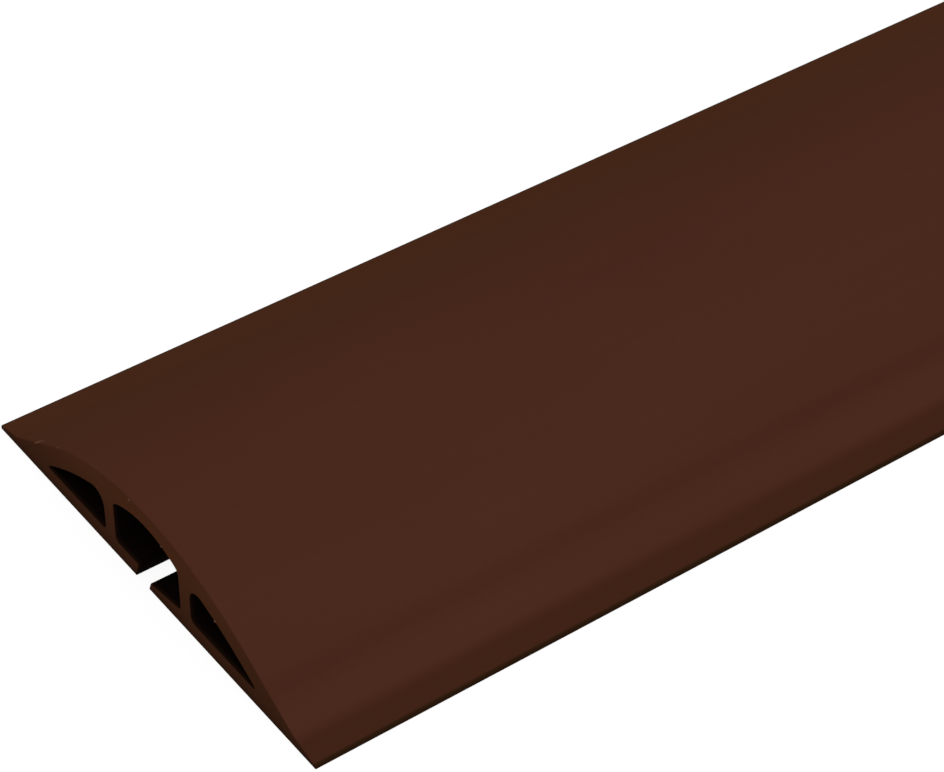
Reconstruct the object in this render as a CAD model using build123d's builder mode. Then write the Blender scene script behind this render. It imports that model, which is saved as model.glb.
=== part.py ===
"""Floor cable cover: one cut length of a soft PVC extrusion that shields cables laid across a floor.

The section is a low dome on a flat base. A cable channel runs through its middle and opens to the
floor by a slit, and a closed hollow on each side lets the flanks give under a foot or a wheel.
"""
import os
from math import cos, radians, tan

from build123d import *

# Overall sizes, millimetres
cover_length = 914.4
cover_width = 69.85
cover_height = 12.7

# Outer dome: a round crown, straight flanks and a thin flatter lip along each long edge
flank_angle = 30.0
lip_width = 4.4
lip_root_thickness = 1.8
lip_root_blend = 3.0
edge_thickness = 0.6
edge_round = 0.2

# Walls
base_wall = 2.5
crown_wall = 2.3
flank_wall = 3.0
web_thickness = 2.4

# Cable channel
channel_width = 14.2
channel_arch_rise = 1.9
channel_roof_fillet = 1.0
channel_floor_fillet = 0.6

# Slit through the base, cut at a lean a little to one side of the middle
slit_width = 2.8
slit_offset = 1.5
slit_lean = 20.0
slit_tip_thickness = 1.4
slit_mouth_round = 0.4
slit_foot_round = 0.15

# Corners of the side hollows
hollow_web_fillet = 2.0
hollow_floor_fillet = 0.8
hollow_tip_fillet = 0.3

# The crown's arc is the one that meets the flanks without a corner
half_width = cover_width / 2
lip_root = half_width - lip_width
flank_apex = lip_root_thickness + lip_root * tan(radians(flank_angle))
crown_radius = (flank_apex - cover_height) / (1 / cos(radians(flank_angle)) - 1)
crown_centre = (0, cover_height - crown_radius)

# The outline of the dome over its flat base, x across the cover and y up from the floor
with BuildSketch() as dome:
    with BuildLine():
        crown = CenterArc(crown_centre, crown_radius, 90 - flank_angle, flank_angle)
        Polyline(
            crown @ 0,
            (lip_root, lip_root_thickness),
            (half_width, edge_thickness),
            (half_width, 0),
            (0, 0),
        )
        mirror(about=Plane.YZ)
    make_face()
    fillet(dome.vertices().group_by(Axis.Y)[2], lip_root_blend)
    fillet(dome.vertices().group_by(Axis.Y)[1], edge_round)

# One side hollow. Its roof runs inside the dome by the wall of the flank, down to the base wall and the web.
hollow_start = channel_width / 2 + web_thickness
roof_foot = (flank_apex - flank_wall / cos(radians(flank_angle))) / tan(radians(flank_angle))
with BuildSketch() as side_hollow:
    with BuildLine():
        roof = CenterArc(crown_centre, crown_radius - flank_wall, 90 - flank_angle, flank_angle)
        Polyline(roof @ 0, (roof_foot, 0), (0, 0), roof @ 1)
    make_face()
    with BuildLine():
        Polyline(
            (0, 0),
            (roof_foot, 0),
            (roof_foot, base_wall),
            (hollow_start, base_wall),
            (hollow_start, cover_height),
            (0, cover_height),
            close=True,
        )
    make_face(mode=Mode.SUBTRACT)
    fillet(side_hollow.vertices().sort_by(Axis.X)[-1], hollow_tip_fillet)
    fillet(side_hollow.vertices().group_by(Axis.X)[0].sort_by(Axis.Y)[-1], hollow_web_fillet)
    fillet(side_hollow.vertices().group_by(Axis.X)[0].sort_by(Axis.Y)[0], hollow_floor_fillet)

# The cable channel under its arched roof. One side of its floor thins towards the slit that opens it below.
channel_edge = channel_width / 2
channel_apex = cover_height - crown_wall
channel_spring = channel_apex - channel_arch_rise
slit_near = slit_offset - slit_width / 2
slit_far = slit_offset + slit_width / 2
slit_far_mouth = slit_far - base_wall * tan(radians(slit_lean))
slit_near_mouth = slit_near - slit_tip_thickness * tan(radians(slit_lean))
with BuildSketch() as cable_channel:
    with BuildLine():
        ThreePointArc((-channel_edge, channel_spring), (0, channel_apex), (channel_edge, channel_spring))
        Polyline(
            (channel_edge, channel_spring),
            (channel_edge, base_wall),
            (slit_far_mouth, base_wall),
            (slit_far, 0),
            (slit_near, 0),
            (slit_near_mouth, slit_tip_thickness),
            (-channel_edge, base_wall),
            (-channel_edge, channel_spring),
        )
    make_face()
    fillet(cable_channel.vertices().group_by(Axis.Y)[-1], channel_roof_fillet)
    fillet(cable_channel.vertices().group_by(Axis.Y)[2].sort_by(Axis.X)[::2], channel_floor_fillet)
    fillet(cable_channel.vertices().sort_by_distance((slit_far_mouth, base_wall))[0], slit_mouth_round)
    fillet(cable_channel.vertices().sort_by_distance((slit_near_mouth, slit_tip_thickness))[0], slit_mouth_round)

# The whole section
with BuildSketch() as section:
    add(dome.sketch)
    add(side_hollow.sketch, mode=Mode.SUBTRACT)
    mirror(side_hollow.sketch, about=Plane.YZ, mode=Mode.SUBTRACT)
    add(cable_channel.sketch, mode=Mode.SUBTRACT)
    fillet(section.vertices().group_by(Axis.Y)[0].sort_by(Axis.X)[1:3], slit_foot_round)

# The extrusion, cut square at both ends
with BuildPart() as cable_cover:
    with BuildSketch(Plane.YZ.offset(-cover_length / 2)):
        add(section.sketch)
    extrude(amount=cover_length)

cable_cover.part.label = "cable_cover"
os.makedirs("parts", exist_ok=True)
export_step(cable_cover.part, "parts/cable_cover.step")
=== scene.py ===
import math

import bmesh
import bpy
from mathutils import Euler, Matrix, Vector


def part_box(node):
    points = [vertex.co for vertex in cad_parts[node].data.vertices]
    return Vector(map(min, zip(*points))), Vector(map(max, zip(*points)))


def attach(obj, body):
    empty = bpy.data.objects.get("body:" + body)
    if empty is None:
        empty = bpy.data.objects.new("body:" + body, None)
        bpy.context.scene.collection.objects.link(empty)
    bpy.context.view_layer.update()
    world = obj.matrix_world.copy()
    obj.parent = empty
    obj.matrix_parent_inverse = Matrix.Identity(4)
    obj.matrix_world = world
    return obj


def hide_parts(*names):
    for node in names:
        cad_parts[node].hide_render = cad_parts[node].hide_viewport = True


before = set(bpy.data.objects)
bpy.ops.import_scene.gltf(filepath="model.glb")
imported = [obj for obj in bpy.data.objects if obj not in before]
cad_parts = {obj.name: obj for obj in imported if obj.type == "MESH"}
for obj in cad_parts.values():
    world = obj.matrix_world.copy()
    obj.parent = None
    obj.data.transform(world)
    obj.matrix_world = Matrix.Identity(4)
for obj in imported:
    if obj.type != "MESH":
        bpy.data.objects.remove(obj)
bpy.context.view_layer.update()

# The cover: one cut length of a flexible PVC extrusion, dark brown all through, that lies over cables.
# One die gave it a dome with thin lips, a cable channel over a slit, and a cushioning hollow in each flank.
# The section is drawn in millimetres, y across the cover and z up from the floor, and drawn out along x.
mm = 0.001
cover_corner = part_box("cable_cover")[1] / mm
half_length = cover_corner.x
half_width = cover_corner.y
# The height isn't read from that box, because the facets of the frame's mesh cut the crown a little flat.
cover_height = 12.7
corner_steps = 5


def straight_run(outline, pen, *places):
    """Draws on from the pen's vertex, straight to each (across, up) place, and returns the new vertices."""
    made = []
    for across, up in places:
        pen = bmesh.ops.extrude_vert_indiv(outline, verts=[pen])["verts"][0]
        pen.co = (0, across, up)
        made.append(pen)
    return made


def arc_run(outline, pen, centre_height, turn, steps):
    """Draws on from the pen's vertex, round a centre on the middle plane, and returns the last vertex."""
    centre = (0, 0, centre_height)
    swept = bmesh.ops.spin(outline, geom=[pen], cent=centre, axis=(1, 0, 0), angle=turn, steps=steps)
    return swept["geom_last"][0]


def round_corner(outline, corner, radius):
    """Rounds one corner, cut back along both of its runs by what an arc of that radius needs."""
    back, on = (edge.other_vert(corner).co - corner.co for edge in corner.link_edges)
    cut_back = radius / math.tan(back.angle(on) / 2)
    bmesh.ops.bevel(
        outline,
        geom=[corner],
        offset=cut_back,
        offset_type="ABSOLUTE",
        affect="VERTICES",
        segments=corner_steps,
        profile=0.5,
        material=-1,
    )


# The far half of the dome: the round crown, the straight flank, the thin lip and its edge.
flank_angle = math.radians(30)
lip_width = 4.4
lip_root_thickness = 1.8
lip_root_blend = 3.0
edge_thickness = 0.6
edge_round = 0.2
crown_steps = 48
flank_cuts = 20
lip_root_across = half_width - lip_width
flank_apex = lip_root_thickness + lip_root_across * math.tan(flank_angle)
crown_radius = (flank_apex - cover_height) / (1 / math.cos(flank_angle) - 1)
crown_centre = cover_height - crown_radius
section = bmesh.new()
crown_top = section.verts.new((0, 0, cover_height))
crown_foot = arc_run(section, crown_top, crown_centre, -flank_angle, crown_steps)
lip_root, lip_edge = straight_run(
    section,
    crown_foot,
    (lip_root_across, lip_root_thickness),
    (half_width, edge_thickness),
    (half_width, 0),
)[:2]
round_corner(section, lip_root, lip_root_blend)
round_corner(section, lip_edge, edge_round)
flank = max(crown_foot.link_edges, key=lambda edge: edge.calc_length())
bmesh.ops.subdivide_edges(section, edges=[flank], cuts=flank_cuts)

# Past the hollow's end, where the flank turns solid, the cooling wall drew in and left a faint sunk line.
sink_place = 25.8
sink_depth = 0.06
sink_spread = 1.6
for vertex in section.verts:
    from_sink = (vertex.co.y - sink_place) / sink_spread
    vertex.co.z -= sink_depth * math.exp(-from_sink * from_sink / 2)

# The far hollow: its roof runs inside the dome by the wall of the flank, down to the base and the web.
flank_wall = 3.0
base_wall = 2.5
web_thickness = 2.4
channel_width = 14.2
hollow_web_fillet = 2.0
hollow_floor_fillet = 0.8
hollow_tip_fillet = 0.3
hollow_roof_steps = 4
hollow_start = channel_width / 2 + web_thickness
hollow_end = (flank_apex - flank_wall / math.cos(flank_angle) - base_wall) / math.tan(flank_angle)
roof_radius = crown_radius - flank_wall
web_lean = math.asin(hollow_start / roof_radius)
web_top = section.verts.new((0, hollow_start, crown_centre + roof_radius * math.cos(web_lean)))
roof_foot = arc_run(section, web_top, crown_centre, web_lean - flank_angle, hollow_roof_steps)
hollow_tip, web_foot = straight_run(section, roof_foot, (hollow_end, base_wall), (hollow_start, base_wall))
section.edges.new((web_foot, web_top))
round_corner(section, web_top, hollow_web_fillet)
round_corner(section, web_foot, hollow_floor_fillet)
round_corner(section, hollow_tip, hollow_tip_fillet)

# The near half is the far half's mirror image, joined to it at the top of the crown. The feet are the two
# outermost points on the floor.
weld_distance = 0.001
far_half = section.verts[:] + section.edges[:]
bmesh.ops.mirror(section, geom=far_half, matrix=Matrix(), merge_dist=weld_distance, axis="Y")
far_foot = max(section.verts, key=lambda vertex: vertex.co.y - vertex.co.z)
near_foot = min(section.verts, key=lambda vertex: vertex.co.y + vertex.co.z)

# The base, and the arched channel over it. The slit that opens the channel to the floor leans, a little off
# the middle, and on its near side the channel's floor thins towards it.
crown_wall = 2.3
channel_arch_rise = 1.9
channel_roof_fillet = 1.0
channel_floor_fillet = 0.6
channel_arch_steps = 12
slit_width = 2.8
slit_offset = 1.5
slit_lean = math.radians(20)
slit_tip_thickness = 1.4
slit_mouth_round = 0.4
slit_foot_round = 0.15
slit_far = slit_offset + slit_width / 2
slit_near = slit_offset - slit_width / 2
slit_far_mouth = slit_far - base_wall * math.tan(slit_lean)
slit_near_mouth = slit_near - slit_tip_thickness * math.tan(slit_lean)
channel_edge = channel_width / 2
channel_spring = cover_height - crown_wall - channel_arch_rise
arch_radius = (channel_edge ** 2 + channel_arch_rise ** 2) / (2 * channel_arch_rise)
arch_centre = cover_height - crown_wall - arch_radius
arch_turn = 2 * math.asin(channel_edge / arch_radius)
far_slit_foot, far_slit_mouth, far_floor, far_spring = straight_run(
    section,
    far_foot,
    (slit_far, 0),
    (slit_far_mouth, base_wall),
    (channel_edge, base_wall),
    (channel_edge, channel_spring),
)
near_spring = arc_run(section, far_spring, arch_centre, arch_turn, channel_arch_steps)
near_floor, near_slit_mouth, near_slit_foot = straight_run(
    section,
    near_spring,
    (-channel_edge, base_wall),
    (slit_near_mouth, slit_tip_thickness),
    (slit_near, 0),
)
section.edges.new((near_slit_foot, near_foot))
for corner in (far_spring, near_spring):
    round_corner(section, corner, channel_roof_fillet)
for corner in (far_floor, near_floor):
    round_corner(section, corner, channel_floor_fillet)
for corner in (far_slit_mouth, near_slit_mouth):
    round_corner(section, corner, slit_mouth_round)
for corner in (far_slit_foot, near_slit_foot):
    round_corner(section, corner, slit_foot_round)

# The section is filled, drawn out to the cover's length less the rims of its two cuts, and looped along it.
# The blade leaves each rim very slightly rounded: (inwards, outwards) for each of two small steps. Together
# the steps inwards are smaller than any rounded corner that the rim runs round.
cut_rim_steps = ((0.03, 0.07), (0.07, 0.03))
cut_rim_depth = sum(outwards for inwards, outwards in cut_rim_steps)
length_cuts = 35
bmesh.ops.triangle_fill(section, use_beauty=True, use_dissolve=False, edges=section.edges[:])
drawn_half = half_length - cut_rim_depth
bmesh.ops.translate(section, vec=(-drawn_half, 0, 0), verts=section.verts)
drawn = bmesh.ops.extrude_face_region(section, geom=section.faces[:])["geom"]
finish_end = [item for item in drawn if isinstance(item, bmesh.types.BMVert)]
bmesh.ops.translate(section, vec=(2 * drawn_half, 0, 0), verts=finish_end)
bmesh.ops.recalc_face_normals(section, faces=section.faces)
long_edges = [edge for edge in section.edges if edge.calc_length() > drawn_half]
bmesh.ops.subdivide_edges(section, edges=long_edges, cuts=length_cuts, use_grid_fill=True)

# Each cut gets its rounded rim. A loop close behind it keeps the rounding out of the long faces' shading.
square_on = 0.99
loop_setback = 0.5
for end in (-1, 1):
    everything = section.verts[:] + section.edges[:] + section.faces[:]
    loop_place = (end * (drawn_half - loop_setback), 0, 0)
    bmesh.ops.bisect_plane(section, geom=everything, plane_co=loop_place, plane_no=(1, 0, 0))
    for inwards, outwards in cut_rim_steps:
        cut_face = [face for face in section.faces if face.normal.x * end > square_on]
        bmesh.ops.inset_region(
            section,
            faces=cut_face,
            thickness=inwards,
            depth=outwards,
            use_even_offset=True,
            use_boundary=True,
        )

# The three finishes: 0 the outer skin, 1 the cut faces, 2 the walls of the channel, slit and hollows.
off_the_floor = 0.01
crease_angle = math.radians(50)
for face in section.faces:
    middle = face.calc_center_median()
    dome_height = crown_centre + math.sqrt(crown_radius ** 2 - middle.y ** 2)
    face.smooth = abs(face.normal.x) < square_on
    if not face.smooth:
        face.material_index = 1
    elif abs(middle.y) < hollow_end and off_the_floor < middle.z < dome_height - crown_wall / 2:
        face.material_index = 2
for edge in section.edges:
    edge.smooth = edge.calc_face_angle(0) < crease_angle
bmesh.ops.scale(section, vec=(mm, mm, mm), verts=section.verts)
cover_mesh = bpy.data.meshes.new("cover_extrusion")
section.to_mesh(cover_mesh)
section.free()
cover = bpy.data.objects.new("cover_extrusion", cover_mesh)
bpy.context.scene.collection.objects.link(cover)


def linear(hex_colour):
    """The linear colour, with alpha, of an sRGB hex value."""
    channels = [int(hex_colour[place:place + 2], 16) / 255 for place in (1, 3, 5)]
    return (*[c / 12.92 if c <= 0.04045 else ((c + 0.055) / 1.055) ** 2.4 for c in channels], 1.0)


def add_node(tree, kind, inputs=None, **settings):
    """Adds a node with its settings, and gives its inputs a value or a link from another node's output."""
    node = tree.nodes.new(kind)
    for name, value in settings.items():
        setattr(node, name, value)
    for name, value in (inputs or {}).items():
        offered = [socket for socket in node.inputs if socket.enabled]
        socket = offered[name] if isinstance(name, int) else next(s for s in offered if s.name == name)
        if isinstance(value, bpy.types.Node):
            value = next(output for output in value.outputs if output.enabled)
        if isinstance(value, bpy.types.NodeSocket):
            tree.links.new(value, socket)
        else:
            socket.default_value = value
    return node


def new_material(name):
    """A material of that name with nothing in its node tree yet."""
    material = bpy.data.materials.new(name)
    material.use_nodes = True
    material.node_tree.nodes.clear()
    return material


# Flexible PVC as it leaves the die: a matt, faintly grained skin with fine lines drawn along its length and
# broad, faint clouds in its brown. It is so dull that the room hardly shows in it.
pvc_ior = 1.53
dull_gloss = 0.006
die_line_spacing = 1.1
die_line_length = 500.0
die_line_share = 0.35
cloud_length = 90.0
cloud_width = 25.0
skin = new_material("flexible_pvc_matt_skin")
cover_mesh.materials.append(skin)
tree = skin.node_tree
place = add_node(tree, "ShaderNodeTexCoord").outputs["Object"]
stretched = add_node(
    tree,
    "ShaderNodeMapping",
    {"Vector": place, "Scale": (1 / (die_line_length * mm), 1 / (die_line_spacing * mm), 0)},
)
die_lines = add_node(tree, "ShaderNodeTexNoise", {"Vector": stretched, "Scale": 1.0, "Detail": 2.0})
clouded = add_node(
    tree,
    "ShaderNodeMapping",
    {"Vector": place, "Scale": (1 / (cloud_length * mm), 1 / (cloud_width * mm), 0)},
)
clouds = add_node(tree, "ShaderNodeTexNoise", {"Vector": clouded, "Scale": 1.0, "Detail": 3.0})
tone = add_node(
    tree, "ShaderNodeMath", {0: die_lines, 1: die_line_share, 2: clouds}, operation="MULTIPLY_ADD"
)
tone = add_node(
    tree,
    "ShaderNodeMapRange",
    {"Value": tone, "From Min": 0.4, "From Max": 0.95, "To Min": 0.0, "To Max": 1.0},
)
brown = add_node(
    tree,
    "ShaderNodeMix",
    {"Factor": tone, "A": linear("#46261B"), "B": linear("#4A291E")},
    data_type="RGBA",
)

# Painted warm reflection: from the crown to the far lip the brown turns faintly olive.
across_cover = add_node(tree, "ShaderNodeSeparateXYZ", {"Vector": place}).outputs["Y"]
far_side_painted_reflection = add_node(
    tree,
    "ShaderNodeMapRange",
    {"Value": across_cover, "From Min": 0.0, "From Max": lip_root_across * mm},
    interpolation_type="SMOOTHSTEP",
)
brown = add_node(
    tree,
    "ShaderNodeMix",
    {"Factor": far_side_painted_reflection, "A": brown, "B": linear("#F8FDDF")},
    data_type="RGBA",
    blend_type="MULTIPLY",
)

# Painted shade: along the near flank's sunk line the brown is a little darker.
sink_shade_reach = 2.6
from_sink_line = add_node(tree, "ShaderNodeMath", {0: across_cover, 1: sink_place * mm}, operation="ADD")
from_sink_line = add_node(tree, "ShaderNodeMath", {0: from_sink_line}, operation="ABSOLUTE")
sink_painted_shade = add_node(
    tree,
    "ShaderNodeMapRange",
    {
        "Value": from_sink_line,
        "From Min": 0.0,
        "From Max": sink_shade_reach * mm,
        "To Min": 1.0,
        "To Max": 0.0,
    },
    interpolation_type="SMOOTHSTEP",
)
brown = add_node(
    tree,
    "ShaderNodeMix",
    {"Factor": sink_painted_shade, "A": brown, "B": linear("#F6F5F4")},
    data_type="RGBA",
    blend_type="MULTIPLY",
)

# Painted shade: the near lip is darker than the flank. The one brown blends into the other at the lip's
# root.
lip_shade_start = lip_root_across - 0.4
lip_shade_full = lip_root_across + 1.8
near_lip_painted_shade = add_node(
    tree,
    "ShaderNodeMapRange",
    {"Value": across_cover, "From Min": -lip_shade_start * mm, "From Max": -lip_shade_full * mm},
    interpolation_type="SMOOTHSTEP",
)
brown = add_node(
    tree,
    "ShaderNodeMix",
    {"Factor": near_lip_painted_shade, "A": brown, "B": linear("#3F2216")},
    data_type="RGBA",
)

# Painted shade: both outer edges, where the lips end at the floor, are darkest.
edge_shade_start = half_width - 0.4
edge_shade_full = half_width - 0.15
from_middle = add_node(tree, "ShaderNodeMath", {0: across_cover}, operation="ABSOLUTE")
edge_painted_shade = add_node(
    tree,
    "ShaderNodeMapRange",
    {"Value": from_middle, "From Min": edge_shade_start * mm, "From Max": edge_shade_full * mm},
)
brown = add_node(
    tree,
    "ShaderNodeMix",
    {"Factor": edge_painted_shade, "A": brown, "B": linear("#2B190D")},
    data_type="RGBA",
)

# The real grain is about 0.15 mm, under two pixels here, so it is drawn a little coarser.
grain_size = 0.3
skin_relief = 0.02
grain = add_node(
    tree, "ShaderNodeTexNoise", {"Vector": place, "Scale": 1 / (grain_size * mm), "Detail": 2.0}
)
grain_bump = add_node(
    tree, "ShaderNodeBump", {"Height": grain, "Strength": 0.25, "Distance": skin_relief * mm}
)
line_bump = add_node(
    tree,
    "ShaderNodeBump",
    {"Height": die_lines, "Normal": grain_bump, "Strength": 0.3, "Distance": skin_relief * mm},
)
roughness = add_node(
    tree,
    "ShaderNodeMapRange",
    {"Value": grain, "From Min": 0.3, "From Max": 0.7, "To Min": 0.8, "To Max": 0.9},
)
surface = add_node(
    tree,
    "ShaderNodeBsdfPrincipled",
    {
        "Base Color": brown,
        "Roughness": roughness,
        "IOR": pvc_ior,
        "Specular IOR Level": dull_gloss,
        "Normal": line_bump,
    },
)
add_node(tree, "ShaderNodeOutputMaterial", {"Surface": surface})

# Flexible PVC where the blade went through: dull and slightly torn, with drag marks down the cut.
drag_spacing = 0.5
drag_length = 6.0
drag_relief = 0.05
drag_share = 0.3
cut = new_material("flexible_pvc_blade_cut")
cover_mesh.materials.append(cut)
tree = cut.node_tree
place = add_node(tree, "ShaderNodeTexCoord").outputs["Object"]
dragged = add_node(
    tree,
    "ShaderNodeMapping",
    {"Vector": place, "Scale": (0, 1 / (drag_spacing * mm), 1 / (drag_length * mm))},
)
drag_marks = add_node(tree, "ShaderNodeTexNoise", {"Vector": dragged, "Scale": 1.0, "Detail": 3.0})

# Painted shade: the cut is paler towards the crown and darker towards the floor, and darkest in a band along
# the floor.
dark_below = 1.0
pale_above = 10.0
floor_shade_reach = 1.6
height_on_cut = add_node(tree, "ShaderNodeSeparateXYZ", {"Vector": place}).outputs["Z"]
drag_marks_and_painted_shade = add_node(
    tree,
    "ShaderNodeMapRange",
    {
        "Value": height_on_cut,
        "From Min": dark_below * mm,
        "From Max": pale_above * mm,
        "To Min": 0.0,
        "To Max": 0.8,
    },
)
drag_marks_and_painted_shade = add_node(
    tree, "ShaderNodeMath", {0: drag_marks, 1: drag_share, 2: drag_marks_and_painted_shade}, operation="MULTIPLY_ADD"
)
cut_brown = add_node(
    tree,
    "ShaderNodeMix",
    {"Factor": drag_marks_and_painted_shade, "A": linear("#391F13"), "B": linear("#4F2D1B")},
    data_type="RGBA",
)
# Painted shade: the band along the floor at the foot of the cut.
floor_painted_shade = add_node(
    tree,
    "ShaderNodeMapRange",
    {
        "Value": height_on_cut,
        "From Min": 0.0,
        "From Max": floor_shade_reach * mm,
        "To Min": 0.5,
        "To Max": 0.0,
    },
    interpolation_type="SMOOTHSTEP",
)
cut_brown = add_node(
    tree,
    "ShaderNodeMix",
    {"Factor": floor_painted_shade, "A": cut_brown, "B": linear("#1F140B")},
    data_type="RGBA",
)
drag_bump = add_node(
    tree, "ShaderNodeBump", {"Height": drag_marks, "Strength": 0.5, "Distance": drag_relief * mm}
)
surface = add_node(
    tree,
    "ShaderNodeBsdfPrincipled",
    {
        "Base Color": cut_brown,
        "Roughness": 0.9,
        "IOR": pvc_ior,
        "Specular IOR Level": dull_gloss,
        "Normal": drag_bump,
    },
)
add_node(tree, "ShaderNodeOutputMaterial", {"Surface": surface})

# Flexible PVC inside the section: a smooth skin of the same brown, painted almost black as the shade in the
# channel, slit and hollows.
inner = new_material("flexible_pvc_inner_skin")
cover_mesh.materials.append(inner)
tree = inner.node_tree
place = add_node(tree, "ShaderNodeTexCoord").outputs["Object"]
stretched = add_node(
    tree,
    "ShaderNodeMapping",
    {
        "Vector": place,
        "Scale": (1 / (die_line_length * mm), 1 / (die_line_spacing * mm), 1 / (die_line_spacing * mm)),
    },
)
inner_lines = add_node(tree, "ShaderNodeTexNoise", {"Vector": stretched, "Scale": 1.0, "Detail": 2.0})
inner_brown = add_node(
    tree,
    "ShaderNodeMix",
    {"Factor": inner_lines, "A": linear("#080403"), "B": linear("#100805")},
    data_type="RGBA",
)

# Painted light: just behind each cut, where light comes in at the opening, the inner walls are a little
# paler.
opening_light_reach = 0.7
along_cover = add_node(tree, "ShaderNodeSeparateXYZ", {"Vector": place}).outputs["X"]
from_middle = add_node(tree, "ShaderNodeMath", {0: along_cover}, operation="ABSOLUTE")
painted_light_at_opening = add_node(
    tree,
    "ShaderNodeMapRange",
    {"Value": from_middle, "From Min": (half_length - opening_light_reach) * mm, "From Max": half_length * mm},
    interpolation_type="SMOOTHSTEP",
)
inner_brown = add_node(
    tree,
    "ShaderNodeMix",
    {"Factor": painted_light_at_opening, "A": inner_brown, "B": linear("#1A0E08")},
    data_type="RGBA",
)
surface = add_node(
    tree,
    "ShaderNodeBsdfPrincipled",
    {"Base Color": inner_brown, "Roughness": 0.85, "IOR": pvc_ior, "Specular IOR Level": 0.003},
)
add_node(tree, "ShaderNodeOutputMaterial", {"Surface": surface})

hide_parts("cable_cover")
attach(cover, "root")

# The burrs: small tags of the same PVC along the rims of both cuts, still hanging on by their roots.
# The blade pulled them up where it did not cut clean, and they fold back flat over the rim.
# Thickness and taper are shares of a burr's width, and its overhang past the cut is a share of its length.
burr_thickness = 0.5
burr_taper = 0.45
burr_overhang = 0.35
burrs = bmesh.new()
for end, across, depth, length, width, turn in (
    (-1, 25.0, 0.0, 1.6, 0.6, -40),
    (-1, 20.0, 0.0, 0.5, 0.3, 40),
    (-1, 10.6, 2.7, 0.5, 0.3, -35),
    (-1, 3.0, 0.3, 0.7, 0.5, 30),
    (-1, -3.8, 2.4, 0.5, 0.35, 10),
    (-1, -15.0, 2.7, 0.7, 0.4, 20),
    (1, 21.5, 0.0, 0.8, 0.4, 25),
    (1, 6.4, 0.0, 0.5, 0.35, -20),
    (1, -3.1, 2.3, 0.5, 0.45, -10),
    (1, -17.0, 0.0, 0.9, 0.45, 15),
):
    # A burr lies at its depth under the crown's arc, or under the straight flank beyond it.
    radius = crown_radius - depth
    lean = max(-flank_angle, min(flank_angle, math.asin(across / radius)))
    if abs(across) > radius * math.sin(flank_angle):
        up = flank_apex - depth / math.cos(flank_angle) - abs(across) * math.tan(flank_angle)
    else:
        up = crown_centre + math.sqrt(radius ** 2 - across ** 2)
    tag = bmesh.ops.create_icosphere(burrs, subdivisions=2, radius=0.5)["verts"]
    tag_tip = [vertex for vertex in tag if vertex.co.x * end < 0]
    bmesh.ops.scale(burrs, vec=(1, burr_taper, burr_taper), verts=tag_tip)
    bmesh.ops.scale(burrs, vec=(length, width, burr_thickness * width), verts=tag)
    lie = Matrix.Rotation(-lean, 3, "X") @ Matrix.Rotation(math.radians(turn), 3, "Z")
    bmesh.ops.rotate(burrs, cent=(0, 0, 0), matrix=lie, verts=tag)
    tag_middle = (end * (half_length + (burr_overhang - 0.5) * length), across, up)
    bmesh.ops.translate(burrs, vec=tag_middle, verts=tag)
bmesh.ops.recalc_face_normals(burrs, faces=burrs.faces)
for face in burrs.faces:
    face.smooth = True
bmesh.ops.scale(burrs, vec=(mm, mm, mm), verts=burrs.verts)
burr_mesh = bpy.data.meshes.new("cut_burrs")
burrs.to_mesh(burr_mesh)
burrs.free()
cut_burrs = bpy.data.objects.new("cut_burrs", burr_mesh)
bpy.context.scene.collection.objects.link(cut_burrs)

# Flexible PVC that was stretched until it tore: it turns paler and chalky where it was pulled thin.
chalk_size = 0.2
chalk_relief = 0.05
torn = new_material("flexible_pvc_torn_pale")
burr_mesh.materials.append(torn)
tree = torn.node_tree
place = add_node(tree, "ShaderNodeTexCoord").outputs["Object"]
chalk = add_node(
    tree, "ShaderNodeTexNoise", {"Vector": place, "Scale": 1 / (chalk_size * mm), "Detail": 2.0}
)
torn_brown = add_node(
    tree,
    "ShaderNodeMix",
    {"Factor": chalk, "A": linear("#4A2D20"), "B": linear("#664334")},
    data_type="RGBA",
)
chalk_bump = add_node(
    tree, "ShaderNodeBump", {"Height": chalk, "Strength": 0.5, "Distance": chalk_relief * mm}
)
surface = add_node(
    tree,
    "ShaderNodeBsdfPrincipled",
    {
        "Base Color": torn_brown,
        "Roughness": 0.9,
        "IOR": pvc_ior,
        "Specular IOR Level": dull_gloss,
        "Normal": chalk_bump,
    },
)
add_node(tree, "ShaderNodeOutputMaterial", {"Surface": surface})
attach(cut_burrs, "root")


def background_rays(tree):
    """Gives 1 to rays that show the background, straight, mirrored or through glass, and 0 to the rest."""
    ray = add_node(tree, "ShaderNodeLightPath").outputs
    seen = add_node(
        tree, "ShaderNodeMath", {0: ray["Is Camera Ray"], 1: ray["Is Glossy Ray"]}, operation="ADD"
    )
    return add_node(
        tree, "ShaderNodeMath", {0: seen, 1: ray["Is Transmission Ray"]}, operation="ADD", use_clamp=True
    )


# The floor: a plain white sheet. The camera sees it as white, less the soft shadow that the cover leaves.
# It lies a hair below the base, so that the two don't meet in one plane, and is clear when seen from below.
floor_half_side = 5.0
floor_gap = 0.05
white = linear("#FFFFFF")
shadow_catching_grey = linear("#595959")
seen_glow = 0.92
lighting_glow = 0.4
sheet = bmesh.new()
bmesh.ops.create_grid(sheet, x_segments=1, y_segments=1, size=floor_half_side)
bmesh.ops.translate(sheet, vec=(0, 0, -floor_gap * mm), verts=sheet.verts)
floor_mesh = bpy.data.meshes.new("white_floor")
sheet.to_mesh(floor_mesh)
sheet.free()
floor = bpy.data.objects.new("white_floor", floor_mesh)
bpy.context.scene.collection.objects.link(floor)
paper = new_material("white_backdrop_paper")
floor_mesh.materials.append(paper)
tree = paper.node_tree
shadowed = add_node(tree, "ShaderNodeBsdfDiffuse", {"Color": shadow_catching_grey})
glow = add_node(tree, "ShaderNodeEmission", {"Color": white, "Strength": seen_glow})
seen_paper = add_node(tree, "ShaderNodeAddShader", {0: shadowed, 1: glow})
lighting_paper = add_node(tree, "ShaderNodeEmission", {"Color": white, "Strength": lighting_glow})
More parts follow.
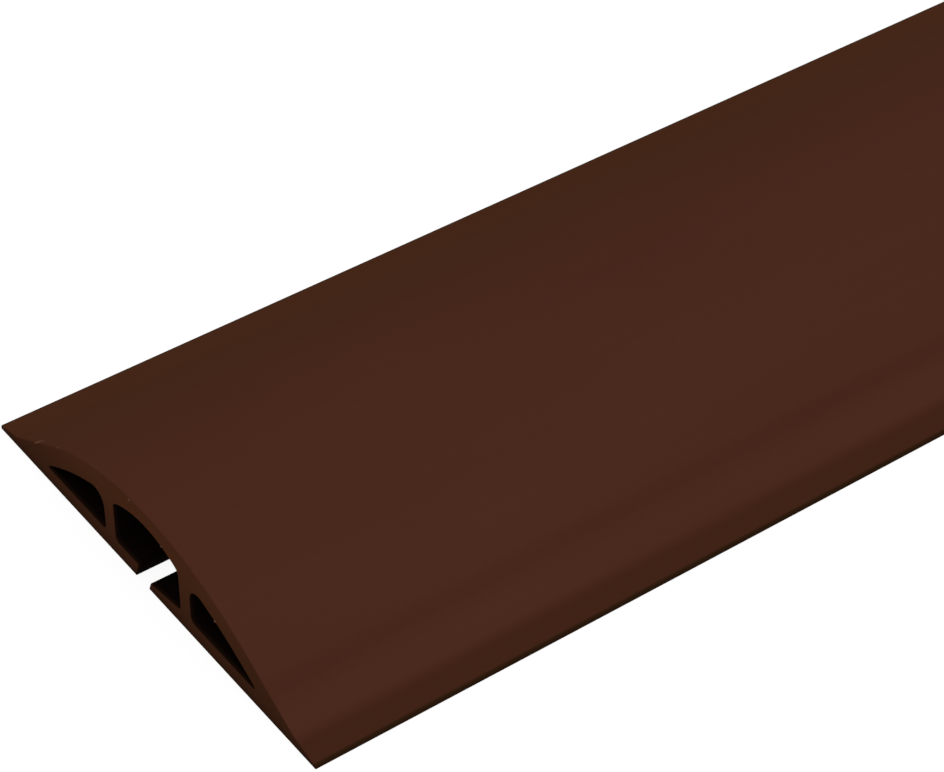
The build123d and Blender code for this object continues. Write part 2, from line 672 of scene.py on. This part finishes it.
upper_side = add_node(
    tree, "ShaderNodeMixShader", {0: background_rays(tree), 1: lighting_paper, 2: seen_paper}
)
from_below = add_node(tree, "ShaderNodeNewGeometry").outputs["Backfacing"]
clear = add_node(tree, "ShaderNodeBsdfTransparent")
surface = add_node(tree, "ShaderNodeMixShader", {0: from_below, 1: upper_side, 2: clear})
add_node(tree, "ShaderNodeOutputMaterial", {"Surface": surface})

# The light: an even white room, which the camera sees as white, and one broad soft lamp. The lamp stands
# high on the camera's side of the cover.
room_level = 0.6
world = bpy.data.worlds.new("white_room")
bpy.context.scene.world = world
world.use_nodes = True
tree = world.node_tree
tree.nodes.clear()
room_strength = add_node(
    tree, "ShaderNodeMapRange", {"Value": background_rays(tree), "To Min": room_level, "To Max": 1.0}
)
room = add_node(tree, "ShaderNodeBackground", {"Color": white, "Strength": room_strength})
add_node(tree, "ShaderNodeOutputWorld", {"Surface": room})

lamp_strength = 1.45
lamp_spread = math.radians(50)
lamp_height = math.radians(60)
lamp_side = math.radians(-20)
lamp_data = bpy.data.lights.new("soft_lamp", "SUN")
lamp_data.energy = lamp_strength
lamp_data.angle = lamp_spread
lamp = bpy.data.objects.new("soft_lamp", lamp_data)
lamp.rotation_euler = (math.pi / 2 - lamp_height, 0, lamp_side)
bpy.context.scene.collection.objects.link(lamp)

# The camera: the photograph's view, from above the cover's near side at its cut end.
# Its place and its turns were fitted to the contours of the cut end and to the two long edges.
photo_width = 944
focal_pixels = 3153.8
camera_before_cut = 125.953
camera_aside = 234.374
camera_height = 264.102
camera_tilt = math.radians(41.351)
camera_heading = math.radians(36.445)
camera_roll = math.radians(0.372)
camera_data = bpy.data.cameras.new("photo_camera")
camera_data.lens = focal_pixels / photo_width * camera_data.sensor_width
camera_data.clip_start = 0.01
camera = bpy.data.objects.new("photo_camera", camera_data)
stand = Matrix.Translation((-(half_length + camera_before_cut) * mm, -camera_aside * mm, camera_height * mm))
aim = Euler((math.pi / 2 - camera_tilt, 0, -camera_heading)).to_matrix().to_4x4()
camera.matrix_world = stand @ aim @ Matrix.Rotation(camera_roll, 4, "Z")
bpy.context.scene.collection.objects.link(camera)
bpy.context.scene.camera = camera
bpy.context.scene.view_settings.view_transform = "Standard"
